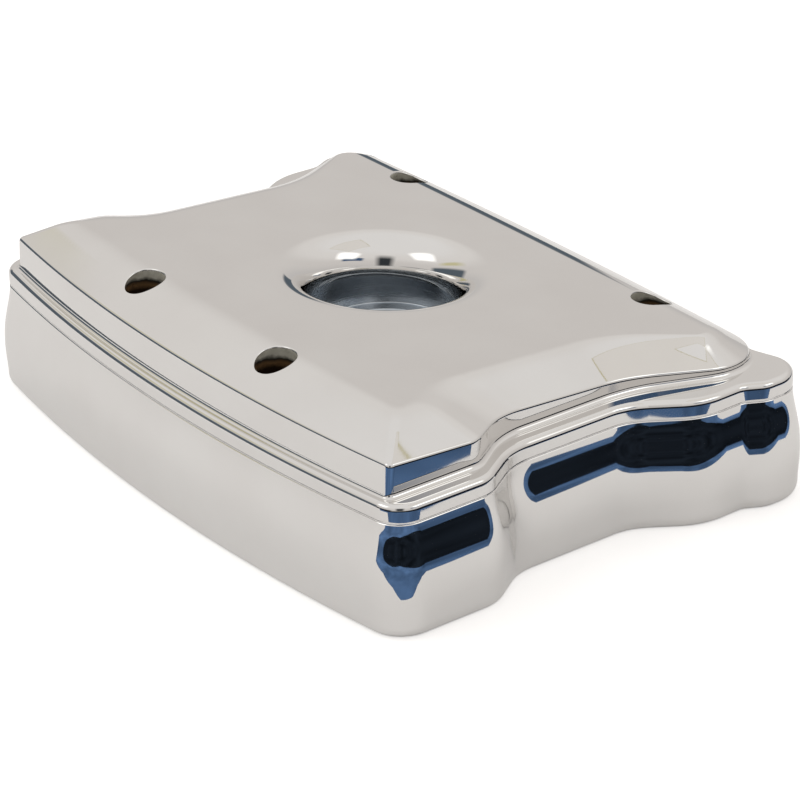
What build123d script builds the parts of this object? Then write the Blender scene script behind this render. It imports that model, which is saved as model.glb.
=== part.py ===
from build123d import *
from math import hypot
import os

# Engine valve cover: one aluminium casting, with a rubber gasket in its rim and a rubber seal
# at the foot of its plug well. Millimetres. X runs along the bowed front edge, Y from that edge
# to the far edge, Z up from the rim. Plans are drawn round the plug well and moved at the end,
# so that the origin lies under the middle of the cover.

# heights
HEIGHT = 47.9            # rim to deck, at the plug well
TILT = 3.5               # the deck falls towards the far edge, degrees
CROWN = 6.8              # from the flat of the deck down to its edge
LEDGE_Z = 36.0           # ledge round the deck block
ROLL = 1.8               # rounded lip of the ledge
COVE = 1.6               # fillet at the foot of the deck block
STEP_Z = 30.6            # foot of the small wall under the lip
EDGE_ROUND = 1.2         # deck edge

# plan of the deck edge, right half (the left half mirrors it)
NEAR_Y = -69.8           # front edge at the middle
BOW = 7.1                # the front edge curves back this much at its corners
WAIST_X = 80.1           # half width between the lobes
LOBE_OUT = 8.6           # the front corners stand this much outside the waist
TAIL_OUT = 16.1          # so do the far corners, before they are rounded
FAR_Y = 64.0             # far edge at the middle
FAR_BOW = 2.6
LOBE_X, TAIL_X = WAIST_X + LOBE_OUT, WAIST_X + TAIL_OUT
LOBE_Y, WAIST_Y, TAIL_Y = -35.4, -22.2, 19.9     # where the side turns
DECK_R = (2.0, 8.0, 24.0, 46.0, 15.3)            # corner radii, front to far

# from the deck edge in to the fold of the deck
FOLD_NEAR, FOLD_LOBE, FOLD_SIDE, FOLD_FAR, FOLD_TAIL = 9.8, 10.8, 10.6, 13.4, 9.7
FOLD_TURN = (6.6, 8.8, -2.1)                     # the side of the fold turns this much nearer
FOLD_IN = 1.5
FOLD_R = (2.0, 8.0, 24.0, 40.0, 6.0)
FOLD_SOFT = 0.35         # half width of the rounded fold, as a part of the sloping band

# lower body
LIP_NEAR, LIP_SIDE, LIP_FAR = 3.9, 6.1, 0.8
LIP_BOW = 8.1
LIP_BEHIND = 1.0         # the lip's side turns this much behind the deck's
EAR = (13.7, 0.2, 13.6)  # the ear stands outside the waist and nearer than the far edge, and is so long
NECK = (3.2, 6.0)        # dip inside the ear and before it
SHOULDER = (0.3, 13.5)   # far lobe, outside the neck and before it
FLANK_Y = 16.7           # the side leaves the waist this far before the far lobe
EAR_FOOT, EAR_TOE = (10.4, 19.4, 27.9), 2.8      # in from the ear to the far edge, which dips by the toe
LIP_R = (8.5, 10.0, 20.0, 18.0, 20.0, 6.0, 8.0, 9.2, 6.5, 8.0, 8.0)
FLARE = ((2.0, 2.1), (10.0, 2.5), (18.0, 2.2), (25.0, 0.8), (STEP_Z, 0.0))
RIM_OUT = 0.7            # rim outside the lip's plan, inside the rounded bottom edge
WALL = 5.5
FOLD_WALL = 2.0          # the upper hollow stays this far inside the fold
HOLLOW_LAP = 9.6         # the deck's hollow reaches this far below the ledge's

# plug well
BORE_R = 20.5
MOUTH = 10.1             # radius of the rounded mouth
BORE_DEEP = 9.2          # straight part of the bore, down to its seat
WELL_HOLE_R = 16.0
TUBE_R = 25.5

# cap screws, M6
HEAD_R, HOLE_R = 5.5, 3.3
BOSS_R = 9.5
SEAT_Z = 26.0            # screw-head seat above the rim
NEAR_SCREW = (31.1, -56.4)
FAR_SCREW = (54.4, 49.7)
RIB = 4.0                # web thickness
RIB_Z = 6.0              # webs start this far above the rim

# seals
SEAL_W, SEAL_DEEP = 3.0, 3.2
SEAL_PLAY = 0.15
SEAL_IN = 2.4            # middle of the rim groove, inside the lip's plan
WELL_SEAL_R = 20.7       # middle of the well seal

MIDDLE_Y = (FAR_Y + LIP_FAR + NEAR_Y - LIP_NEAR) / 2    # middle of the plan, from the plug well


def deck_corners(t=0.0):
    """Corners (x, y, radius) of the deck edge, or of a line that lies t of the way to its fold."""
    near, far = NEAR_Y + BOW, FAR_Y - FAR_BOW
    edge = ((LOBE_X, near), (LOBE_X, LOBE_Y), (WAIST_X, WAIST_Y), (WAIST_X, TAIL_Y), (TAIL_X, far))
    lobe, side = LOBE_X - FOLD_LOBE, WAIST_X - FOLD_SIDE
    turns = [y - nearer for y, nearer in zip((LOBE_Y, WAIST_Y, TAIL_Y), FOLD_TURN)]
    fold = (
        (lobe, near + FOLD_NEAR), (lobe - FOLD_IN, turns[0]), (side, turns[1]), (side, turns[2]),
        (TAIL_X - FOLD_TAIL, FAR_Y - FOLD_FAR),
    )
    rows = zip([e + (r,) for e, r in zip(edge, DECK_R)], [f + (r,) for f, r in zip(fold, FOLD_R)])
    return [tuple(a + t * (b - a) for a, b in zip(*pair)) for pair in rows]


def lip_corners():
    """Corners of the lip under the deck block, with the ears at the far corners."""
    lobe, waist = LOBE_X + LIP_SIDE, WAIST_X + LIP_SIDE
    near, far = NEAR_Y - LIP_NEAR + LIP_BOW, FAR_Y + LIP_FAR
    ear, ear_far = waist + EAR[0], far - EAR[1]
    ear_near = ear_far - EAR[2]
    neck = ear - NECK[0], ear_near - NECK[1]
    shoulder = neck[0] + SHOULDER[0], neck[1] - SHOULDER[1]
    foot, toe, last = (ear - inside for inside in EAR_FOOT)
    corners = (
        (lobe, near), (lobe, LOBE_Y - LIP_BEHIND), (waist, WAIST_Y - LIP_BEHIND),
        (waist, shoulder[1] - FLANK_Y), shoulder, neck, (ear, ear_near), (ear, ear_far),
        (foot, ear_far), (toe, ear_far - EAR_TOE), (last, far),
    )
    return [corner + (r,) for corner, r in zip(corners, LIP_R)]


def unit(a, b):
    far = hypot(b[0] - a[0], b[1] - a[1])
    return (b[0] - a[0]) / far, (b[1] - a[1]) / far


def grown(corners, by):
    """The same corners with every side moved outwards."""
    points = [(0, corners[0][1])] + [c[:2] for c in corners] + [(0, corners[-1][1])]
    moved = []
    for a, b, c, corner in zip(points, points[1:], points[2:], corners):
        (px, py), (qx, qy) = unit(a, b), unit(b, c)
        turn = px * qy - py * qx
        shift = by * (1 - (px * qx + py * qy)) / turn
        x, y = b[0] + by * py + shift * px, b[1] - by * px + shift * py
        moved.append((x, y, max(corner[2] + (by if turn > 0 else -by), 1.0)))
    return moved


def outline(corners, near_bow, far_bow=0.0, z=0.0):
    """Flat face with a bowed front edge, rounded corners and a straight or bowed far edge."""
    (x, y), (u, v) = corners[0][:2], corners[-1][:2]
    with BuildSketch(Plane.XY.offset(z)) as sketch:
        with BuildLine():
            ThreePointArc((-x, y), (0, y - near_bow), (x, y))
            Polyline(*[c[:2] for c in corners])
            ThreePointArc((u, v), (0, v + far_bow), (-u, v)) if far_bow else Line((u, v), (-u, v))
            Polyline(*[(-c[0], c[1]) for c in reversed(corners)])
        make_face()
        for cx, cy, r in corners:
            spots = [p for p in sketch.vertices() if abs(abs(p.X) - cx) + abs(p.Y - cy) < 1e-4]
            fillet(spots, r)
    return sketch.sketch


def deck_line(t, z, skin=0.0):
    """Level outline t of the way from the deck edge to its fold, a skin inside it."""
    return outline(grown(deck_corners(t), -skin), BOW * (1 - 0.6 * t), FAR_BOW * (1 - 0.65 * t), z)


def on_deck(part):
    """From a level deck at zero height to its place and its fall."""
    return Pos(0, 0, HEIGHT) * Rot(-TILT, 0, 0) * part


def deck_block():
    """Upright block with bands that slope up to the flat of the deck over a rounded fold."""
    soft = FOLD_SOFT
    rise = [(0, 1), (1 - soft, soft), (1, soft / 4), (1 + soft, 0)]
    deep = HEIGHT - CROWN - STEP_Z
    block = extrude(deck_line(0, -CROWN - deep), deep, dir=(0, 0, 1))
    return on_deck(block + loft([deck_line(t, -CROWN * drop) for t, drop in rise]))


def deck_hollow():
    """The hollow inside the deck block, in two steps under its bands."""
    deep = HEIGHT - CROWN - LEDGE_Z + WALL + HOLLOW_LAP
    low = extrude(deck_line(0, -CROWN - deep, WALL), deep - WALL, dir=(0, 0, 1))
    high = extrude(deck_line(1, -CROWN - deep, FOLD_WALL), CROWN + deep - WALL, dir=(0, 0, 1))
    return on_deck(low + high)


def lower_body():
    """Lip, small wall and flaring skirt down to the rim."""
    lip = extrude(outline(lip_corners(), LIP_BOW, z=STEP_Z), LEDGE_Z - STEP_Z, dir=(0, 0, 1))
    lip = fillet(lip.faces().sort_by(Axis.Z)[-1].edges(), ROLL)
    rings = [outline(grown(lip_corners(), out), LIP_BOW, z=z) for z, out in FLARE]
    foot = loft([outline(grown(lip_corners(), RIM_OUT), LIP_BOW), rings[0]], ruled=True)
    return lip + loft(rings) + foot


def column(radius, low, high):
    """Upright round bar between two heights."""
    return Pos(0, 0, (low + high) / 2) * Cylinder(radius, high - low)


def at_screws(part):
    return [Pos(side * x, y, 0) * part for x, y in (NEAR_SCREW, FAR_SCREW) for side in (1, -1)]


def ribs():
    """Webs that tie each screw boss to the nearest wall, and the well tube to the side walls."""
    tie = Box(RIB, 16, HEIGHT)
    near = [Pos(s * NEAR_SCREW[0], NEAR_Y + 5, HEIGHT / 2 + RIB_Z) * tie for s in (1, -1)]
    far = [Pos(s * FAR_SCREW[0], FAR_Y - 6, HEIGHT / 2 + RIB_Z) * tie for s in (1, -1)]
    return near + far + [Pos(0, 0, HEIGHT - 8) * Box(2 * WAIST_X, RIB, 18)]


def cavity():
    """The hollow under the ledge and the one in the deck block, round the tube, bosses and ribs."""
    lower = extrude(outline(grown(lip_corners(), -WALL), LIP_BOW), LEDGE_Z - WALL, dir=(0, 0, 1))
    kept = [column(TUBE_R, -1, 2 * HEIGHT)] + at_screws(column(BOSS_R, -1, 2 * HEIGHT)) + ribs()
    return lower - kept, deck_hollow() - kept


def on_plane(shape, plane):
    return [e for e in shape.edges() if all(abs(plane.to_local_coords(e @ u).Z) < 1e-3 for u in (0, .5, 1))]


def outside():
    """The cover's outer form, with its edges and the foot of the deck block rounded."""
    edge = Plane(Pos(0, 0, HEIGHT) * Rot(-TILT, 0, 0) * Pos(0, 0, -CROWN))
    body = deck_block() + lower_body()
    body = fillet(on_plane(body, edge), EDGE_ROUND)
    return fillet(on_plane(body, Plane.XY.offset(LEDGE_Z)), COVE)


def with_well(body):
    """Bore with a rounded mouth and a seat, and the hole on down to the rim."""
    body -= column(BORE_R, HEIGHT - MOUTH - BORE_DEEP, HEIGHT + 20)
    mouth = body.edges().filter_by(lambda e: abs(e.length - 6.3 * BORE_R) < 2).sort_by(Axis.Z)[-1]
    return fillet(mouth, MOUTH) - column(WELL_HOLE_R, -1, HEIGHT)


def ring(corners, middle, width, bow):
    """Flat band along an outline, as wide as a seal or its groove."""
    outer = outline(grown(corners, middle + width / 2), bow)
    return outer - outline(grown(corners, middle - width / 2), bow)


def seal(width):
    return extrude(ring(lip_corners(), -SEAL_IN, width, LIP_BOW), SEAL_DEEP, dir=(0, 0, 1))


def well_seal(width):
    outer, inner = WELL_SEAL_R + width / 2, WELL_SEAL_R - width / 2
    return column(outer, 0, SEAL_DEEP) - column(inner, -1, SEAL_DEEP + 1)


def casting():
    body = with_well(outside())
    for hollow in cavity():
        body -= hollow
    body -= at_screws(column(HEAD_R, SEAT_Z, 2 * HEIGHT) + column(HOLE_R, -1, SEAT_Z + 1))
    return body - seal(SEAL_W + 2 * SEAL_PLAY) - well_seal(SEAL_W + 2 * SEAL_PLAY)


def save(part, node):
    export_step(Pos(0, -MIDDLE_Y, 0) * part.solid(), f"parts/{node}.step")


os.makedirs("parts", exist_ok=True)
save(casting(), "valve_cover")
save(seal(SEAL_W), "perimeter_gasket")
save(well_seal(SEAL_W), "plug_well_seal")
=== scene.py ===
import math

import bmesh
import bpy
import numpy as np
from mathutils import Euler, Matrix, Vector
from mathutils.bvhtree import BVHTree
from mathutils.geometry import delaunay_2d_cdt

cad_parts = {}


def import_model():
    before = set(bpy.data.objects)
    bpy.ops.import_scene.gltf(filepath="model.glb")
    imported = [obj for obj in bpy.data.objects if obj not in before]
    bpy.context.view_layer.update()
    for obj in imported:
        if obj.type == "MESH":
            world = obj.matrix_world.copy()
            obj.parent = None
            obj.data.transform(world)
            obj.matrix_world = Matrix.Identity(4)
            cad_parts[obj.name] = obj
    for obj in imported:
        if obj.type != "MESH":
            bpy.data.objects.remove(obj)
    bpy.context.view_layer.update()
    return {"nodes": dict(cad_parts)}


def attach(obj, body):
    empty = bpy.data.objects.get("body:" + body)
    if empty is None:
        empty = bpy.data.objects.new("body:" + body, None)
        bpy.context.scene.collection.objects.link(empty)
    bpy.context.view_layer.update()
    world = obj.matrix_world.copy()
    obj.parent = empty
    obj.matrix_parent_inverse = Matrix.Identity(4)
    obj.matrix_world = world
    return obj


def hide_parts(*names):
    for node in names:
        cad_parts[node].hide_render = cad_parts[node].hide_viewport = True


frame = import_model()

MM = 0.001
scene = bpy.context.scene
scene.view_settings.view_transform = "Standard"


# ---------------------------------------------------------------- node helpers

def new_material(name):
    material = bpy.data.materials.new(name)
    material.use_nodes = True
    material.node_tree.nodes.clear()
    return material


class Tree:
    """Short calls for building a node tree."""

    def __init__(self, tree):
        self.tree = tree

    def add(self, kind, **values):
        node = self.tree.nodes.new(kind)
        for key, value in values.items():
            if hasattr(node, key):
                setattr(node, key, value)
            else:
                node.inputs[key].default_value = value
        return node

    def link(self, a, b):
        self.tree.links.new(a, b)
        return b

    def math(self, op, a, b=None, clamp=False):
        node = self.tree.nodes.new("ShaderNodeMath")
        node.operation, node.use_clamp = op, clamp
        for i, value in enumerate((a, b)):
            if value is None:
                continue
            if isinstance(value, (int, float)):
                node.inputs[i].default_value = value
            else:
                self.link(value, node.inputs[i])
        return node.outputs[0]


def metal_base(name, low, high, scale):
    """Principled metal whose colour drifts a little between two tones."""
    m = new_material(name)
    t = Tree(m.node_tree)
    out = t.add("ShaderNodeOutputMaterial")
    shader = t.add("ShaderNodeBsdfPrincipled")
    shader.inputs["Metallic"].default_value = 1.0
    coord = t.add("ShaderNodeTexCoord")
    drift = t.add("ShaderNodeTexNoise")
    drift.inputs["Scale"].default_value = scale
    drift.inputs["Detail"].default_value = 5.0
    t.link(coord.outputs["Object"], drift.inputs["Vector"])
    tint = t.add("ShaderNodeValToRGB")
    for stop, at, colour in zip(tint.color_ramp.elements, (0.3, 0.7), (low, high)):
        stop.position, stop.color = at, (*colour, 1)
    t.link(drift.outputs["Fac"], tint.inputs["Fac"])
    t.link(tint.outputs["Color"], shader.inputs["Base Color"])
    t.link(shader.outputs[0], out.inputs["Surface"])
    return m, t, shader, coord, drift


def rough_between(t, shader, fac, low, high):
    """Roughness that follows a pattern from low to high."""
    rough = t.math("MULTIPLY_ADD", fac, high - low)
    rough.node.inputs[2].default_value = low
    t.link(rough, shader.inputs["Roughness"])


def bumped(t, shader, height, strength, distance):
    """Fine relief that follows a pattern."""
    bump = t.add("ShaderNodeBump")
    bump.inputs["Strength"].default_value = strength
    bump.inputs["Distance"].default_value = distance
    t.link(height, bump.inputs["Height"])
    t.link(bump.outputs[0], shader.inputs["Normal"])


def polished():
    """Mirror-polished aluminium with a trace of buffing haze."""
    m, t, shader, _, drift = metal_base(
        "polished_casting", (0.77, 0.755, 0.74), (0.80, 0.79, 0.775), 40.0)
    rough_between(t, shader, drift.outputs["Fac"], 0.02, 0.06)
    return m


def machined():
    """Turned bore: fine rings round the well; its dull bluish tone is partly a darker turned finish and
    partly painted shade and painted reflection.
    """
    # Dull bluish grey base: partly the darker turned finish, partly painted shade of the deep well and a
    # painted blue reflection tint.
    m, t, shader, coord, _ = metal_base("turned_bore", (0.42, 0.455, 0.49), (0.56, 0.60, 0.64), 120.0)
    stretch = t.add("ShaderNodeMapping")
    stretch.inputs["Scale"].default_value = (30, 30, 2500)
    t.link(coord.outputs["Object"], stretch.inputs["Vector"])
    lines = t.add("ShaderNodeTexNoise")
    lines.inputs["Scale"].default_value = 1.0
    t.link(stretch.outputs[0], lines.inputs["Vector"])
    rough_between(t, shader, lines.outputs["Fac"], 0.16, 0.34)
    bumped(t, shader, lines.outputs["Fac"], 0.5, 0.00002)
    return m


# Painted light and shade in the screw holes, by height: dark painted shade, a band of painted bronze
# reflection, near black, then bright at the mouth.
HOLE_PAINTED_LIGHT_AND_SHADE = (
    (0.0, (0.05, 0.03, 0.02)), (0.62, (0.85, 0.84, 0.79)),
    (0.22, (0.34, 0.20, 0.10)), (0.42, (0.03, 0.028, 0.025)),
)
PAINTED_SHADE_FROM, PAINTED_SHADE_OVER, PAINTED_SHADE_WAVE = 42, 6, 1.5     # height the painted shade starts at, its span and unevenness, mm


def fill_ramp(ramp, stops):
    """Give a ramp, which has two stops when new, as many as the list holds."""
    for i, (at, colour) in enumerate(stops):
        stop = ramp.elements[i] if i < 2 else ramp.elements.new(at)
        stop.position, stop.color = at, (*colour, 1)


def shaft_metal_painted_shade():
    """Bored screw holes: painted light, bright and rough at the mouth; painted shade with a band of painted
    bronze reflection further down.
    """
    m, t, shader, coord, drift = metal_base("bored_hole_painted_shade", (0.62, 0.61, 0.55), (0.85, 0.84, 0.78), 500.0)
    shader.inputs["Metallic"].default_value = 0.45
    rough_between(t, shader, drift.outputs["Fac"], 0.22, 0.40)
    split = t.add("ShaderNodeSeparateXYZ")
    t.link(coord.outputs["Object"], split.inputs[0])
    level = t.math("ADD", split.outputs["Z"], t.math("MULTIPLY", split.outputs["Y"], math.tan(TILT)))
    wavy = t.math("MULTIPLY", t.math("SUBTRACT", drift.outputs["Fac"], 0.5), PAINTED_SHADE_WAVE * MM)
    level = t.math("SUBTRACT", t.math("ADD", level, wavy), PAINTED_SHADE_FROM * MM)
    depth = t.math("DIVIDE", level, PAINTED_SHADE_OVER * MM, clamp=True)
    # Painted shade: the hole darkens from the mouth down, with a band of painted bronze reflection.
    painted_tones = t.add("ShaderNodeValToRGB")
    fill_ramp(painted_tones.color_ramp, HOLE_PAINTED_LIGHT_AND_SHADE)
    t.link(depth, painted_tones.inputs["Fac"])
    mix = t.add("ShaderNodeMix", data_type="RGBA", blend_type="MULTIPLY")
    mix.inputs["Factor"].default_value = 1.0
    t.link(shader.inputs["Base Color"].links[0].from_socket, mix.inputs[6])
    t.link(painted_tones.outputs["Color"], mix.inputs[7])
    t.link(mix.outputs[2], shader.inputs["Base Color"])
    return m


def cast_metal():
    """As-cast inside: matt, grainy aluminium."""
    m, t, shader, coord, _ = metal_base("as_cast", (0.42, 0.42, 0.42), (0.55, 0.55, 0.55), 60.0)
    grain = t.add("ShaderNodeTexNoise")
    grain.inputs["Scale"].default_value = 900.0
    grain.inputs["Detail"].default_value = 4.0
    t.link(coord.outputs["Object"], grain.inputs["Vector"])
    rough_between(t, shader, grain.outputs["Fac"], 0.45, 0.7)
    bumped(t, shader, grain.outputs["Fac"], 0.6, 0.0002)
    return m


def rubber():
    """Matt black rubber, faintly grained."""
    m = new_material("seal_rubber")
    t = Tree(m.node_tree)
    out = t.add("ShaderNodeOutputMaterial")
    shader = t.add("ShaderNodeBsdfPrincipled")
    coord = t.add("ShaderNodeTexCoord")
    grain = t.add("ShaderNodeTexNoise")
    grain.inputs["Scale"].default_value = 900.0
    t.link(coord.outputs["Object"], grain.inputs["Vector"])
    tint = t.add("ShaderNodeValToRGB")
    tint.color_ramp.elements[0].color = (0.012, 0.012, 0.013, 1)
    tint.color_ramp.elements[1].color = (0.03, 0.03, 0.031, 1)
    t.link(grain.outputs["Fac"], tint.inputs["Fac"])
    t.link(tint.outputs["Color"], shader.inputs["Base Color"])
    rough_between(t, shader, grain.outputs["Fac"], 0.5, 0.7)
    t.link(shader.outputs[0], out.inputs["Surface"])
    return m


# ---------------------------------------------------------------- the casting's form

# The same sizes as the CAD part, in millimetres, round the plug well.
HEIGHT, TILT, CROWN = 47.9, math.radians(3.5), 6.8
LEDGE_Z, ROLL, COVE, STEP_Z, EDGE_ROUND = 36.0, 1.8, 1.6, 30.6, 1.2
BOW, FAR_BOW, LIP_BOW = 7.1, 2.6, 8.1
WELL_Y = 4.45                           # the plug well, from the middle of the cover
BORE_R, MOUTH, WELL_HOLE_R, SEAT = 20.5, 10.1, 16.0, 28.6
HEAD_R, HOLE_R, HEAD_SEAT = 5.5, 3.3, 26.0
SCREWS = [(s * x, y) for x, y in ((31.1, -56.4), (54.4, 49.7)) for s in (1, -1)]

# Corners of the right half, front to far: x, y, radius.
EDGE = ((88.7, -62.7, 2.0), (88.7, -35.4, 8.0), (80.1, -22.2, 24.0), (80.1, 19.9, 46.0), (96.2, 61.4, 15.3))
FOLD = ((77.9, -52.9, 2.0), (76.4, -42.0, 8.0), (69.5, -31.0, 24.0), (69.5, 22.0, 40.0), (86.5, 50.6, 6.0))
LIP = (
    (94.8, -65.6, 8.5), (94.8, -36.4, 10.0), (86.2, -23.2, 20.0), (86.2, 14.8, 18.0),
    (97.0, 31.5, 20.0), (96.7, 45.0, 6.0), (99.9, 51.0, 8.0), (99.9, 64.6, 9.2),
    (89.5, 64.6, 6.5), (80.5, 61.8, 8.0), (72.0, 64.8, 8.0),
)
FOLD_SOFT = 0.35                        # half width of the rounded fold, as a part of the band
BOW_LOST, FAR_BOW_LOST = 0.6, 0.65      # share of each bow that is gone at the fold

# Softened edges, mm.
WELL_SOFT, WELL_CHAMFER, SCREW_SOFT = 0.35, 0.5, 0.45
NICK = 0.22                             # depth of the groove under the lip's small wall
COVE_LEAST, COVE_SPARE, COVE_SUNK = 0.02, 0.1, 1.5

# Where the patches of the deck meet, as parts of the way from its edge to its fold.
BAND_FOOT, DECK_FROM = 0.05, 0.2
DECK_STEPS = (0.3, 0.4, 0.5, 0.58, 0.65, 0.7, 0.76, 0.82, 0.88, 0.94, 1.0, 1.07, 1.14, 1.21, 1.28, 1.35)
LAST_SLOPE = 1.34                       # past this the deck is flat
SCREW_RINGS = ((0.9, 60), (1.5, 56), (2.2, 52), (3.0, 48))      # mm outside a counterbore, points
SCREW_CLEAR = 3.6

# Profile of the skirt: heights, and how far it stands outside the lip.
SKIRT_Z = (0.0, 0.5, 1.2, 2.0, 4.0, 8.0, 12.0, 16.0, 20.0, 24.0, 27.0, 28.7, 30.6)
SKIRT_OUT = (0.75, 1.30, 1.78, 2.08, 2.22, 2.40, 2.52, 2.38, 1.87, 1.04, 0.42, 0.16, 0.0)


def grown(corners, by, least=0.6):
    """The same corners with every side moved outwards; no radius falls below the least."""
    pts = np.array([(0, corners[0][1])] + [c[:2] for c in corners] + [(0, corners[-1][1])], float)
    moved = []
    for a, b, c, corner in zip(pts, pts[1:], pts[2:], corners):
        p, q = (b - a) / np.linalg.norm(b - a), (c - b) / np.linalg.norm(c - b)
        turn = p[0] * q[1] - p[1] * q[0]
        shift = by * (1 - p @ q) / turn
        moved.append((b[0] + by * p[1] + shift * p[0], b[1] - by * p[0] + shift * p[1],
                      max(corner[2] + (by if turn > 0 else -by), least)))
    return moved


def arc(centre, start, end, n, ccw=True):
    """Points of an arc and their outward normals."""
    a, b = (math.atan2(*(p - centre)[::-1]) for p in (start, end))
    if ccw and b < a:
        b += 2 * math.pi
    if not ccw and b > a:
        b -= 2 * math.pi
    turn = np.linspace(a, b, n)
    way = np.stack([np.cos(turn), np.sin(turn)], 1)
    r = np.linalg.norm(start - centre)
    return centre + r * way, way * (1 if ccw else -1)


def bow_circle(x, y, bow, sign):
    """Centre and radius of the bowed edge whose corners are (x, y) and (-x, y)."""
    r = (x * x + bow * bow) / (2 * bow)
    return np.array((0.0, y + sign * (bow - r))), r


def half_outline(corners, near_bow, far_bow, n_bow, n_side, n_corner):
    """Points and normals of the right half, from the middle of the front edge to the far one."""
    pts = np.array([c[:2] for c in corners], float)
    last = len(pts) - 1
    near_c, near_r = bow_circle(*pts[0], near_bow, -1)
    far = bow_circle(*pts[-1], far_bow, 1) if far_bow else None
    ends = []
    for i, (p, corner) in enumerate(zip(pts, corners)):
        r = corner[2]
        d1 = (p - pts[i - 1]) if i else np.array((1.0, 0.0))
        d2 = (pts[i + 1] - p) if i < last else np.array((-1.0, 0.0))
        d1, d2 = d1 / np.linalg.norm(d1), d2 / np.linalg.norm(d2)
        circle = (near_c, near_r) if i == 0 else far if i == last else None
        if circle is None:
            side = 1 if d1[0] * d2[1] - d1[1] * d2[0] > 0 else -1
            reach = r * math.tan(math.acos(np.clip(d1 @ d2, -1, 1)) / 2)
            start, end = p - d1 * reach, p + d2 * reach
            centre = start + side * r * np.array((-d1[1], d1[0]))
            ends.append((start, end, centre, side > 0))
            continue
        line = d2 if i == 0 else d1
        inward = np.array((-line[1], line[0]))
        base = p + inward * r - circle[0]
        along = base @ line
        root = math.sqrt(along ** 2 - base @ base + (circle[1] - r) ** 2)
        spots = [circle[0] + base + line * (-along + k * root) for k in (1, -1)]
        centre = min(spots, key=lambda q: np.linalg.norm(q - p))
        on_arc = circle[0] + (centre - circle[0]) / np.linalg.norm(centre - circle[0]) * circle[1]
        on_line = centre - inward * r
        ends.append((on_arc, on_line, centre, True) if i == 0 else (on_line, on_arc, centre, True))
    parts = [arc(near_c, near_c - (0, near_r), ends[0][0], n_bow)]
    for i, (start, end, centre, ccw) in enumerate(ends):
        parts.append(arc(centre, start, end, n_corner, ccw))
        if i < last:
            step = np.linspace(0, 1, n_side)[:, None]
            run = end + (ends[i + 1][0] - end) * step
            d = (ends[i + 1][0] - end) / np.linalg.norm(ends[i + 1][0] - end)
            parts.append((run, np.tile((d[1], -d[0]), (n_side, 1))))
    if far:
        parts.append(arc(far[0], ends[-1][1], far[0] + (0, far[1]), n_bow))
    else:
        step = np.linspace(0, 1, n_bow)[:, None]
        run = ends[-1][1] * (1 - step) + np.array((0, pts[-1][1])) * step
        parts.append((run, np.tile((0, 1), (n_bow, 1))))
    points = np.concatenate([parts[0][0]] + [q[0][1:] for q in parts[1:]])
    normals = np.concatenate([parts[0][1]] + [q[1][1:] for q in parts[1:]])
    return points, normals


def outline(corners, near_bow, far_bow=0.0, n_bow=48, n_side=9, n_corner=15):
    """Closed outline, counter-clockwise from the middle of the front edge, with outward normals."""
    p, n = half_outline(corners, near_bow, far_bow, n_bow, n_side, n_corner)
    flip = np.array((-1.0, 1.0))
    return np.concatenate([p, (p * flip)[-2:0:-1]]), np.concatenate([n, (n * flip)[-2:0:-1]])


def bows(t):
    """Front and far bow, t of the way from the deck edge to its fold."""
    return BOW * (1 - BOW_LOST * t), FAR_BOW * (1 - FAR_BOW_LOST * t)


def deck_ring(t):
    """Outline t of the way from the deck edge to its fold."""
    corners = [tuple(a + t * (b - a) for a, b in zip(*pair)) for pair in zip(EDGE, FOLD)]
    return outline(corners, *bows(t))


def drop(t):
    """Height lost below the flat of the deck, t of the way from its edge to its fold."""
    t = np.asarray(t)
    soft = (1 + FOLD_SOFT - t) ** 2 / (4 * FOLD_SOFT)
    return CROWN * np.where(t < 1 - FOLD_SOFT, 1 - t, np.where(t < 1 + FOLD_SOFT, soft, 0))


def tilted(v, direction=False):
    """Points or directions of the level deck, laid on its fall."""
    c, s = math.cos(TILT), math.sin(TILT)
    v = np.asarray(v, float)
    out = np.stack([v[..., 0], v[..., 1] * c + v[..., 2] * s, -v[..., 1] * s + v[..., 2] * c], -1)
    return out if direction else out + (0, 0, HEIGHT)


def flat3(points, z):
    """Points of a plan, all at one height."""
    return np.concatenate([points, np.full((len(points), 1), float(z))], 1)


def unit(v):
    return v / np.linalg.norm(v, axis=-1, keepdims=True)


def slerp(a, b, u):
    """Direction u of the way round from a to b."""
    angle = np.arccos(np.clip((a * b).sum(-1, keepdims=True), -1, 1))
    return (np.sin((1 - u) * angle) * a + np.sin(u * angle) * b) / np.sin(angle)


class Skin:
    """A mesh put together from patches, with the true normal at each vertex."""

    def __init__(self):
        self.verts, self.normals, self.faces, self.slots, self.count = [], [], [], [], 0

    def add(self, points, normals, faces, slot):
        self.verts.append(np.asarray(points, float))
        self.normals.append(unit(np.asarray(normals, float)))
        self.faces += [tuple(i + self.count for i in f) for f in faces]
        self.slots += [slot] * len(faces)
        self.count += len(points)

    def strip(self, rings, normals, slot):
        """Closed rings of equal length, each joined to the next."""
        n = len(rings[0])
        faces = [
            (j * n + i, j * n + (i + 1) % n, (j + 1) * n + (i + 1) % n, (j + 1) * n + i)
            for j in range(len(rings) - 1) for i in range(n)
        ]
        self.add(np.concatenate(rings), np.concatenate(normals), faces, slot)

    def build(self, name, materials):
        mesh = bpy.data.meshes.new(name)
        verts = (np.concatenate(self.verts) + (0, WELL_Y, 0)) * MM
        mesh.from_pydata(verts.tolist(), [], self.faces)
        for m in materials:
            mesh.materials.append(m)
        mesh.polygons.foreach_set("material_index", self.slots)
        mesh.polygons.foreach_set("use_smooth", [True] * len(self.faces))
        mesh.normals_split_custom_set_from_vertices(np.concatenate(self.normals).tolist())
        obj = bpy.data.objects.new(name, mesh)
        scene.collection.objects.link(obj)
        return obj


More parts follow.
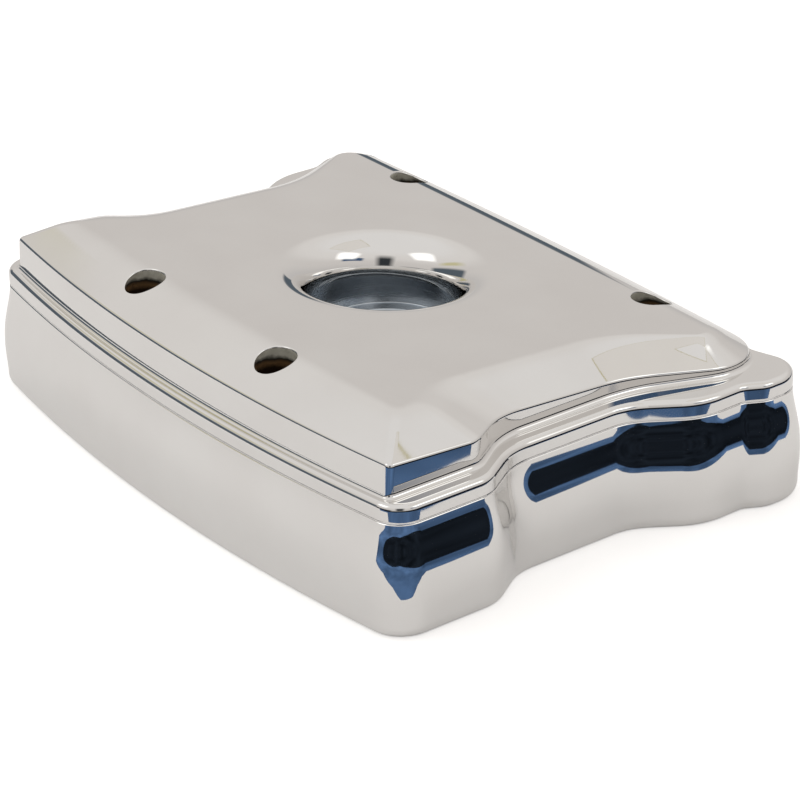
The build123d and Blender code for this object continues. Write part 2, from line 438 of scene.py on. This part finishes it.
def inside(points, loop):
    """Which points lie in a closed loop."""
    a, b = loop, np.roll(loop, -1, 0)
    x, y = points[:, :1], points[:, 1:2]
    cross = (a[:, 1] > y) != (b[:, 1] > y)
    with np.errstate(divide="ignore", invalid="ignore"):
        at = (b[:, 0] - a[:, 0]) * (y - a[:, 1]) / (b[:, 1] - a[:, 1]) + a[:, 0]
    return ((x < at) & cross).sum(1) % 2 == 1


def triangles(loops, extra, keep):
    """Triangles between closed loops and loose points, those whose middle keep() accepts."""
    points, edges = [], []
    for loop in loops:
        base = len(points)
        points += [tuple(p) for p in loop]
        edges += [(base + i, base + (i + 1) % len(loop)) for i in range(len(loop))]
    points += [tuple(p) for p in extra]
    out = delaunay_2d_cdt([Vector(p) for p in points], edges, [], 0, 1e-6)
    verts, faces = np.array([tuple(v) for v in out[0]]), np.array(out[2])
    origin = np.array([o[0] if o else -1 for o in out[3]])
    faces = faces[keep(verts[faces].mean(1))]
    return verts, origin, faces.tolist()


def skirt_out():
    """Smooth profile of the skirt through its knots: heights, how far out, and the slope there."""
    z = np.concatenate([np.linspace(0, 2, 9), np.linspace(2, STEP_Z, 40)[1:]])
    knots_z, knots_out = np.array(SKIRT_Z), np.array(SKIRT_OUT)
    n = len(knots_z)
    h = np.diff(knots_z)
    m = np.zeros((n, n))
    r = np.zeros(n)
    m[0, 0] = m[-1, -1] = 1
    for i in range(1, n - 1):
        m[i, i - 1:i + 2] = h[i - 1], 2 * (h[i - 1] + h[i]), h[i]
        after = (knots_out[i + 1] - knots_out[i]) / h[i]
        before = (knots_out[i] - knots_out[i - 1]) / h[i - 1]
        r[i] = 6 * (after - before)
    k = np.linalg.solve(m, r)

    def at(v):
        i = np.clip(np.searchsorted(knots_z, v) - 1, 0, n - 2)
        a, b = (knots_z[i + 1] - v) / h[i], (v - knots_z[i]) / h[i]
        bend = ((a ** 3 - a) * k[i] + (b ** 3 - b) * k[i + 1]) * h[i] ** 2 / 6
        return a * knots_out[i] + b * knots_out[i + 1] + bend

    return z, at(z), (at(z + 1e-3) - at(z - 1e-3)) / 2e-3


def lower_skin(skin):
    """Skirt, small step, lip wall and roll."""
    skirt = [(out, z, -slope) for z, out, slope in zip(*skirt_out())]
    wall = (
        (0, STEP_Z, 1.2), (NICK * 0.3 - NICK, STEP_Z + 0.12, 0.9), (-NICK, STEP_Z + 0.35, -0.2),
        (-NICK * 0.3, STEP_Z + 0.75, -0.5), (0, STEP_Z + 1.0, 0), (0, LEDGE_Z - ROLL, 0),
    )
    for profile in (skirt, wall):
        rings, normals = [], []
        for out, z, up in profile:
            p, n = outline(grown(LIP, out), LIP_BOW)
            rings.append(flat3(p, z))
            normals.append(flat3(n, up))
        skin.strip(rings, normals, 0)
    rings, normals = [], []
    for turn in np.linspace(0, math.pi / 2, 13):
        p, n = outline(grown(LIP, -ROLL * (1 - math.cos(turn))), LIP_BOW)
        rings.append(flat3(p, LEDGE_Z - ROLL + ROLL * math.sin(turn)))
        normals.append(flat3(n * math.cos(turn), math.sin(turn)))
    skin.strip(rings, normals, 0)
    return rings[-1][:, :2]


def band_normals(t, step=0.01):
    """Normals of the level deck's band along the outline at t."""
    (p0, n0), (p1, _) = deck_ring(t - step), deck_ring(t + step)
    rise = drop(t - step) - drop(t + step)
    up = flat3(p1 - p0, rise)
    tangent = flat3(np.stack([-n0[:, 1], n0[:, 0]], 1), 0)
    return unit(np.cross(tangent, up))


def deck_sides(skin, ledge_loop):
    """Cove, wall, rounded edge and the foot of the band; returns the loops that the rest joins."""
    edge, out = deck_ring(0)
    top = tilted(flat3(edge, -CROWN))
    wall_n = tilted(flat3(out, 0), True)
    down = np.array((0, -math.sin(TILT), -math.cos(TILT)))
    foot = top + down * ((LEDGE_Z - top[:, 2:]) / down[2])
    # the cove narrows where the ledge does, and ends where there is none
    gap = np.array([np.min(np.linalg.norm(ledge_loop - p, axis=1)) for p in foot[:, :2]])
    gap = np.where(inside(foot[:, :2], ledge_loop), gap - COVE_SPARE, -1)
    cove = np.clip(gap, COVE_LEAST, COVE)[:, None]
    for _ in range(6):
        cove = np.minimum(cove, (np.roll(cove, 1, 0) + cove + np.roll(cove, -1, 0)) / 3)
    flat_out = unit(wall_n * (1, 1, 0))
    z_axis = np.array((0.0, 0.0, 1.0))
    away = (1 - wall_n[:, 2:]) / (flat_out * wall_n).sum(1, keepdims=True)
    centre = foot + cove * (z_axis + away * flat_out)
    rings, normals = [], []
    for turn in np.linspace(math.pi / 2, 0, 11):
        n = unit(math.cos(turn) * wall_n + math.sin(turn) * z_axis)
        rings.append(centre - cove * n)
        normals.append(n)
    cove_top = rings[-1]
    rings[0] = np.where(gap[:, None] < 0, rings[0] - (0, 0, COVE_SUNK), rings[0])
    band_n = tilted(band_normals(BAND_FOOT), True)
    tangent = unit(np.cross(z_axis, wall_n))
    up_band = unit(np.cross(band_n, tangent))
    up_band *= np.sign(up_band[:, 2:])
    angle = np.arccos(np.clip((wall_n * band_n).sum(1, keepdims=True), -1, 1))
    start = top + down * EDGE_ROUND * np.tan(angle / 2)
    hub = start - wall_n * EDGE_ROUND
    for k in (0.33, 0.66):
        rings.append(cove_top * (1 - k) + start * k)
        normals.append(wall_n)
    for u in np.linspace(0, 1, 9):
        n = slerp(wall_n, band_n, u)
        rings.append(hub + EDGE_ROUND * n)
        normals.append(n)
    for t in (0.12, DECK_FROM):
        rings.append(tilted(flat3(deck_ring(t)[0], -drop(t))))
        normals.append(tilted(band_normals(t), True))
    skin.strip(rings, normals, 0)
    return rings[0][:, :2]


def height_at(x, y):
    """Height of the level deck at points on its front or far band, and on its flat."""
    low, high = np.zeros_like(x), np.full_like(x, 1 + FOLD_SOFT)
    near = y < 0
    for _ in range(40):
        t = (low + high) / 2
        cx, cy = (
            np.where(near, *(EDGE[end][i] + t * (FOLD[end][i] - EDGE[end][i]) for end in (0, -1)))
            for i in (0, 1)
        )
        bow = np.where(near, *bows(t))
        r = (cx ** 2 + bow ** 2) / (2 * bow)
        sag = np.sqrt(r ** 2 - x ** 2) - r + bow
        line = np.where(near, cy - sag, cy + sag)
        within = np.where(near, line < y, line > y)
        low, high = np.where(within, t, low), np.where(within, high, t)
    return -drop((low + high) / 2)


def level_point(world_x, world_y):
    """The point of the level deck's surface that stands over a plan position."""
    y = world_y.copy()
    for _ in range(5):
        y = (world_y - height_at(world_x, y) * math.sin(TILT)) / math.cos(TILT)
    return world_x, y, height_at(world_x, y)


def ring_angles(n):
    """Directions round a circle."""
    turn = np.linspace(0, 2 * math.pi, n, endpoint=False)
    return np.stack([np.cos(turn), np.sin(turn)], 1)


def surface_normal(x, y, e=0.02):
    """Normals of the level deck at points on its front or far band, and on its flat."""
    gx = (height_at(x + e, y) - height_at(x - e, y)) / (2 * e)
    gy = (height_at(x, y + e) - height_at(x, y - e)) / (2 * e)
    return unit(np.stack([-gx, -gy, np.ones_like(gx)], 1))


def mouth(skin):
    """Rounded mouth, bore, seat and the hole below; returns the mouth's outer loop on the deck."""
    way = ring_angles(160)
    up = np.array((0, math.sin(TILT), math.cos(TILT)))
    hub = flat3(way * (BORE_R + MOUTH), 0)
    hub[:, 2] = HEIGHT - hub[:, 1] * math.tan(TILT) - MOUTH / math.cos(TILT)
    inward = flat3(-way, 0)
    rings, normals = [], []
    for u in np.linspace(0, 1, 33):
        n = slerp(np.tile(up, (len(way), 1)), inward, u)
        rings.append(hub + MOUTH * n)
        normals.append(n)
    skin.strip(rings, normals, 0)
    top, foot = rings[-1], flat3(way * BORE_R, SEAT + WELL_SOFT)
    turns = np.linspace(0, math.pi / 2, 5)
    lip = WELL_HOLE_R + WELL_CHAMFER
    skin.strip([top + (foot - top) * k for k in np.linspace(0, 1, 6)], [inward] * 6, 1)
    seat_round = [(1 - math.cos(a), 1 - math.sin(a)) for a in turns]
    skin.strip([flat3(way * (BORE_R - WELL_SOFT * c), SEAT + WELL_SOFT * s) for c, s in seat_round],
               [flat3(-way * math.cos(a), math.sin(a)) for a in turns], 1)
    skin.strip([flat3(way * r, SEAT) for r in (BORE_R - WELL_SOFT, lip)], [flat3(way * 0, 1)] * 2, 1)
    hole = [flat3(way * WELL_HOLE_R, z) for z in (SEAT - WELL_CHAMFER, 15, 0)]
    skin.strip([flat3(way * lip, SEAT), hole[0]], [flat3(-way, 1)] * 2, 1)
    skin.strip(hole, [inward] * 3, 1)
    return np.stack([rings[0][:, 0], rings[0][:, 1] / math.cos(TILT)], 1)


def counterbore(skin, spot):
    """Softened edge, wall, seat and screw hole; returns the hole's loop on the level deck."""
    way = ring_angles(72)
    x, y, z = level_point(*(way * (HEAD_R + SCREW_SOFT) + spot).T)
    loop = np.stack([x, y, z], 1)
    brim = tilted(loop)
    brim_n = tilted(surface_normal(x, y), True)
    inward = flat3(-way, 0)
    wall = np.concatenate([way * HEAD_R + spot, brim[:, 2:] - SCREW_SOFT], 1)
    turns = np.linspace(0, math.pi / 2, 5)
    rings = [brim + (wall - brim) * (math.sin(u), math.sin(u), 1 - math.cos(u)) for u in turns]
    normals = [slerp(brim_n, inward, u / (math.pi / 2)) for u in turns]
    skin.strip(rings, normals, 0)
    low = flat3(way * HEAD_R + spot, HEAD_SEAT)
    skin.strip([wall + (low - wall) * k for k in (0, 0.3, 0.65, 1)], [inward] * 4, 2)
    skin.strip([flat3(way * r + spot, HEAD_SEAT) for r in (HEAD_R, HOLE_R)], [flat3(way * 0, 1)] * 2, 2)
    skin.strip([flat3(way * HOLE_R + spot, z) for z in (HEAD_SEAT, 12, 0)], [inward] * 3, 2)
    return loop[:, :2]


def deck_top(skin, mouth_loop, holes):
    """Band, fold and flat of the deck in one patch, open at the well and the screw holes."""
    level = (0.0, 0.0, 1.0)
    points, heights, normals = [], [], []

    def note(p, z, n):
        points.append(p)
        heights.append(np.broadcast_to(z, len(p)))
        normals.append(np.broadcast_to(n, (len(p), 3)))

    outer = deck_ring(DECK_FROM)[0]
    note(outer, -drop(DECK_FROM), band_normals(DECK_FROM))
    note(mouth_loop, 0.0, level)
    for loop in holes:
        note(loop, height_at(*loop.T), surface_normal(*loop.T))
    loops = [outer, mouth_loop] + holes
    middles = [loop.mean(0) for loop in holes]
    for t in DECK_STEPS:
        p = deck_ring(t)[0]
        clear = np.all([np.linalg.norm(p - c, axis=1) > HEAD_R + SCREW_CLEAR for c in middles], 0)
        n = band_normals(t) if t < LAST_SLOPE else np.tile(level, (len(p), 1))
        note(p[clear], -drop(t), n[clear])
    for c in middles:
        for far, n in SCREW_RINGS:
            q = ring_angles(n) * (HEAD_R + far) + c
            note(q, height_at(*q.T), surface_normal(*q.T))

    def keep(middle):
        ok = inside(middle, outer) & ~inside(middle, mouth_loop)
        for loop in holes:
            ok &= ~inside(middle, loop)
        return ok

    count = sum(len(loop) for loop in loops)
    every = np.concatenate(points)
    _, origin, faces = triangles(loops, every[count:], keep)
    assert origin.min() >= 0, "a loop of the deck crosses another"
    placed = np.concatenate([every, np.concatenate(heights)[:, None]], 1)[origin]
    skin.add(tilted(placed), tilted(np.concatenate(normals)[origin], True), faces, 0)


def ledge(skin, outer, inner):
    """The flat between the roll of the lip and the cove."""
    verts, _, faces = triangles([outer, inner], [], lambda m: inside(m, outer) & ~inside(m, inner))
    skin.add(flat3(verts, LEDGE_Z), np.tile((0, 0, 1), (len(verts), 1)), faces, 0)


def outer_skin(materials):
    """The whole outside of the casting, with the well and the screw holes, as one mesh."""
    skin = Skin()
    roll_top = lower_skin(skin)
    cove_foot = deck_sides(skin, roll_top)
    ledge(skin, roll_top, cove_foot)
    holes = [counterbore(skin, spot) for spot in SCREWS]
    deck_top(skin, mouth(skin), holes)
    return skin.build("cover_skin", materials)


RIM_Z, ON_SKIN, NEAR_SKIN, SLIVER = 0.05 * MM, 0.6 * MM, 0.15 * MM, (1.5 * MM) ** 2


def underside(skin, material):
    """The inside of the casting, from the CAD node: all that does not lie on the outer skin."""
    mesh = frame["nodes"]["valve_cover"].data.copy()
    mesh.name = "cover_inside"
    mesh.materials.clear()
    mesh.materials.append(material)
    tree = BVHTree.FromPolygons([v.co for v in skin.data.vertices], [p.vertices for p in skin.data.polygons])
    bm = bmesh.new()
    bm.from_mesh(mesh)
    outer = []
    for face in bm.faces:
        middle = face.calc_center_median()
        if middle.z < RIM_Z and face.normal.z < -0.9:
            continue  # the rim itself
        _, normal, _, far = tree.find_nearest(middle)
        along = abs(normal.dot(face.normal)) > 0.5
        sliver = face.calc_area() < SLIVER
        if along and far < ON_SKIN or sliver and far < NEAR_SKIN:
            outer.append(face)
    bmesh.ops.delete(bm, geom=outer, context="FACES")
    bm.to_mesh(mesh)
    bm.free()
    obj = bpy.data.objects.new("cover_inside", mesh)
    scene.collection.objects.link(obj)
    return obj


RUBBER = rubber()
body = outer_skin([polished(), machined(), shaft_metal_painted_shade()])
inner = underside(body, cast_metal())
for piece in (body, inner):
    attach(piece, "root")
    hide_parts("valve_cover")
for node in ("perimeter_gasket", "plug_well_seal"):
    obj = frame["nodes"][node]
    obj.data.materials.clear()
    obj.data.materials.append(RUBBER)


# ---------------------------------------------------------------- stage

def glowing(name, colour, strength=1.0):
    """Plain glow of one colour."""
    m = new_material(name)
    t = Tree(m.node_tree)
    out = t.add("ShaderNodeOutputMaterial")
    glow = t.add("ShaderNodeEmission", Color=(*colour, 1), Strength=strength)
    t.link(glow.outputs[0], out.inputs["Surface"])
    return m


def streaked(material, colour, scale, darker=0.45, paler=1.7):
    """Let the glow drift between a darker and a paler tone of its colour."""
    t = Tree(material.node_tree)
    glow = next(n for n in material.node_tree.nodes if n.type == "EMISSION")
    coord = t.add("ShaderNodeTexCoord")
    noise = t.add("ShaderNodeTexNoise")
    noise.inputs["Scale"].default_value = scale
    noise.inputs["Detail"].default_value = 4.0
    t.link(coord.outputs["Object"], noise.inputs["Vector"])
    ramp = t.add("ShaderNodeValToRGB")
    for stop, at, k in zip(ramp.color_ramp.elements, (0.32, 0.68), (darker, paler)):
        stop.position, stop.color = at, (*(k * c for c in colour), 1)
    t.link(noise.outputs["Fac"], ramp.inputs["Fac"])
    t.link(ramp.outputs["Color"], glow.inputs["Color"])
    return material


def stage_mesh(name, points, material, at):
    """One flat face of the stage."""
    mesh = bpy.data.meshes.new(name)
    mesh.from_pydata(points, [], [tuple(range(len(points)))])
    mesh.materials.append(material)
    obj = bpy.data.objects.new(name, mesh)
    obj.location = at
    scene.collection.objects.link(obj)
    return obj


def rectangle(w, h):
    return [(-w, -h, 0), (w, -h, 0), (w, h, 0), (-w, h, 0)]


def unseen(obj):
    """The card shows in reflections only."""
    obj.visible_camera = obj.visible_diffuse = obj.visible_shadow = False
    obj.visible_transmission = False
    return obj


FLOOR_HALF, FLOOR_Z, CLOTH_FAR = 8.0, -0.0002, 6
FLOOR_LIFT, MIRROR_LIFT = 0.5, 0.12


def floor():
    """Pale floor: its own shade plus a glow that whitens it to camera and mirror; it keeps shadows."""
    m = new_material("floor")
    t = Tree(m.node_tree)
    out = t.add("ShaderNodeOutputMaterial")
    path = t.add("ShaderNodeLightPath")
    plain = t.add("ShaderNodeBsdfDiffuse", Color=(0.8, 0.8, 0.8, 1))
    glow = t.add("ShaderNodeEmission", Color=(1, 0.985, 0.97, 1))
    lift = t.math("MULTIPLY", path.outputs["Is Camera Ray"], FLOOR_LIFT)
    mirrored = t.math("ADD", path.outputs["Is Glossy Ray"], path.outputs["Is Transmission Ray"], clamp=True)
    lift = t.math("ADD", lift, t.math("MULTIPLY", mirrored, MIRROR_LIFT))
    t.link(lift, glow.inputs["Strength"])
    both = t.add("ShaderNodeAddShader")
    t.link(plain.outputs[0], both.inputs[0])
    t.link(glow.outputs[0], both.inputs[1])
    t.link(both.outputs[0], out.inputs["Surface"])
    stage_mesh("floor", rectangle(FLOOR_HALF, FLOOR_HALF), m, (0, 0, FLOOR_Z))


def cloth(name, edge, colour, height):
    """Dark cloth on the floor to the right of a line, seen in reflections only."""
    points = [(x, y, 0) for x, y in edge] + [(CLOTH_FAR, edge[-1][1], 0), (CLOTH_FAR, edge[0][1], 0)]
    unseen(stage_mesh(name, points, streaked(glowing(name, colour), colour, 14.0), (0, 0, height)))


def soft_edged(material, soft):
    """Let the card fade out towards its edges."""
    t = Tree(material.node_tree)
    out = next(n for n in material.node_tree.nodes if n.type == "OUTPUT_MATERIAL")
    glow = out.inputs["Surface"].links[0].from_socket
    split = t.add("ShaderNodeSeparateXYZ")
    t.link(t.add("ShaderNodeTexCoord").outputs["Generated"], split.inputs[0])
    full = None
    for axis in ("X", "Y"):
        near = t.math("MINIMUM", split.outputs[axis], t.math("SUBTRACT", 1.0, split.outputs[axis]))
        near = t.math("DIVIDE", near, soft, clamp=True)
        full = t.math("MULTIPLY", full, near) if full else near
    mix = t.add("ShaderNodeMixShader")
    t.link(full, mix.inputs[0])
    t.link(t.add("ShaderNodeBsdfTransparent").outputs[0], mix.inputs[1])
    t.link(glow, mix.inputs[2])
    t.link(mix.outputs[0], out.inputs["Surface"])


CARDS_ROUND = Vector((0, 0, 0.03))


def card(name, azimuth, elevation, wide, high, colour, strength=1.0, distance=2.0, soft=0.0):
    """Card square on to the object, its place and size in degrees. Azimuth from +X towards +Y."""
    a, e = math.radians(azimuth), math.radians(elevation)
    way = Vector((math.cos(e) * math.cos(a), math.cos(e) * math.sin(a), math.sin(e)))
    w, h = (distance * math.tan(math.radians(v / 2)) for v in (wide, high))
    glow = glowing(name, colour, strength)
    if soft:
        soft_edged(glow, soft)
    obj = unseen(stage_mesh(name, rectangle(w, h), glow, CARDS_ROUND + way * distance))
    obj.rotation_euler = way.to_track_quat("Z", "Y").to_euler()


ROOM = (
    (0.0, (0.58, 0.56, 0.545)), (0.36, (0.69, 0.66, 0.635)),
    (0.62, (0.80, 0.775, 0.75)), (0.85, (0.84, 0.825, 0.81)),
)
SOFT_LIGHT = (0.775, 0.75, 0.725)


def world():
    """Plain soft light; a pale room, paler overhead, in mirrors and glass; plain white to the camera."""
    w = bpy.data.worlds.new("studio")
    w.use_nodes = True
    scene.world = w
    w.node_tree.nodes.clear()
    t = Tree(w.node_tree)
    out = t.add("ShaderNodeOutputWorld")
    path = t.add("ShaderNodeLightPath")
    split = t.add("ShaderNodeSeparateXYZ")
    t.link(t.add("ShaderNodeTexCoord").outputs["Generated"], split.inputs[0])
    ramp = t.add("ShaderNodeValToRGB")
    ramp.color_ramp.interpolation = "EASE"
    fill_ramp(ramp.color_ramp, ROOM)
    t.link(split.outputs["Z"], ramp.inputs["Fac"])
    room = t.add("ShaderNodeBackground", Strength=1.0)
    t.link(ramp.outputs["Color"], room.inputs["Color"])
    light = t.add("ShaderNodeBackground", Color=(*SOFT_LIGHT, 1), Strength=1.0)
    white = t.add("ShaderNodeBackground", Color=(1, 1, 1, 1), Strength=1.0)
    mirrored = t.math("ADD", path.outputs["Is Glossy Ray"], path.outputs["Is Transmission Ray"], clamp=True)
    last = light
    for share, shown in ((mirrored, room), (path.outputs["Is Camera Ray"], white)):
        mix = t.add("ShaderNodeMixShader")
        t.link(share, mix.inputs[0])
        t.link(last.outputs[0], mix.inputs[1])
        t.link(shown.outputs[0], mix.inputs[2])
        last = mix
    t.link(last.outputs[0], out.inputs["Surface"])


def camera():
    """The camera that the photograph was solved for."""
    data = bpy.data.cameras.new("camera")
    data.lens, data.sensor_width = 138.05, 36.0
    obj = bpy.data.objects.new("camera", data)
    obj.location = (0.61944, -0.43914, 0.39223)
    obj.rotation_euler = Euler([math.radians(v) for v in (63.236, 1.259, 53.458)])
    scene.collection.objects.link(obj)
    scene.camera = obj


def soft_lamp(name, at, size, power):
    """Round lamp aimed at the object, not seen in reflections."""
    data = bpy.data.lights.new(name, "AREA")
    data.shape, data.size, data.energy = "DISK", size, power
    obj = bpy.data.objects.new(name, data)
    obj.location = at
    obj.rotation_euler = (-Vector(at)).to_track_quat("-Z", "Y").to_euler()
    obj.visible_glossy = False
    scene.collection.objects.link(obj)


BLUE, BLACK, SLATE = (0.07, 0.13, 0.25), (0.008, 0.011, 0.016), (0.10, 0.125, 0.15)

floor()
world()
camera()
soft_lamp("key", (-0.6, -0.9, 1.6), 1.0, 5)
cloth("blue_cloth", [
    (-0.50, -3.0), (-0.10, -0.9), (-0.03, -0.6), (0.035, -0.31), (0.062, -0.17), (0.102, -0.130),
    (0.107, -0.11), (0.112, -0.09), (0.110, -0.072), (0.117, -0.060), (0.131, -0.052), (0.143, -0.038),
    (0.144, -0.015), (0.148, 0.005), (0.150, 0.030), (0.153, 0.045), (0.158, 0.06), (0.164, 0.08),
    (0.166, 0.10), (0.150, 0.16), (0.118, 0.25), (0.06, 0.45), (-0.10, 0.90), (-0.60, 3.0),
], BLUE, 0.0002)
cloth("dark_cloth", [
    (-0.30, -3.0), (-0.02, -0.9), (0.03, -0.6), (0.085, -0.34), (0.115, -0.22), (0.16, -0.165),
    (0.205, -0.145), (0.205, -0.09), (0.188, -0.05), (0.172, -0.012), (0.170, 0.010), (0.176, 0.035),
    (0.186, 0.06), (0.190, 0.09), (0.183, 0.13), (0.165, 0.18), (0.135, 0.27), (0.08, 0.45),
    (-0.04, 0.90), (-0.45, 3.0),
], BLACK, 0.0004)
card("dark_room", -20, -5, 84, 22, (0.02, 0.028, 0.04), distance=1.6, soft=0.10)
card("dark_left", -88, 5, 60, 20, (0.03, 0.036, 0.045), distance=1.7, soft=0.15)
card("dark_middle", -36, 24, 30, 46, (0.035, 0.04, 0.045), distance=1.1, soft=0.3)
card("dark_right", 45, -1, 60, 12, (0.02, 0.022, 0.028), distance=1.8, soft=0.08)
card("blue_right", 15, 30, 34, 10, (0.06, 0.11, 0.20), distance=1.4, soft=0.15)
card("panel", 55, 64, 28, 22, (0.80, 0.77, 0.73), distance=1.8)
card("panel_frame", 55, 64, 28.6, 22.6, (0.50, 0.45, 0.24), distance=1.81)
card("far_column", 137, -4, 10, 34, SLATE, distance=1.8, soft=0.1)
card("far_shelf", 115, -10, 60, 12, SLATE, distance=2.2, soft=0.1)
card("front_shelf", -145, 9, 70, 34, SLATE, distance=1.8, soft=0.14)
card("front_glow", -152, 33, 50, 9, (0.62, 0.58, 0.36), distance=1.9, soft=0.35)
card("lamp_left", 27, 40, 34, 22, (1, 1, 0.98), 1.7, distance=1.2, soft=0.25)
card("lamp_right", -104, 48, 36, 24, (1, 1, 0.98), 1.7, distance=1.2, soft=0.25)
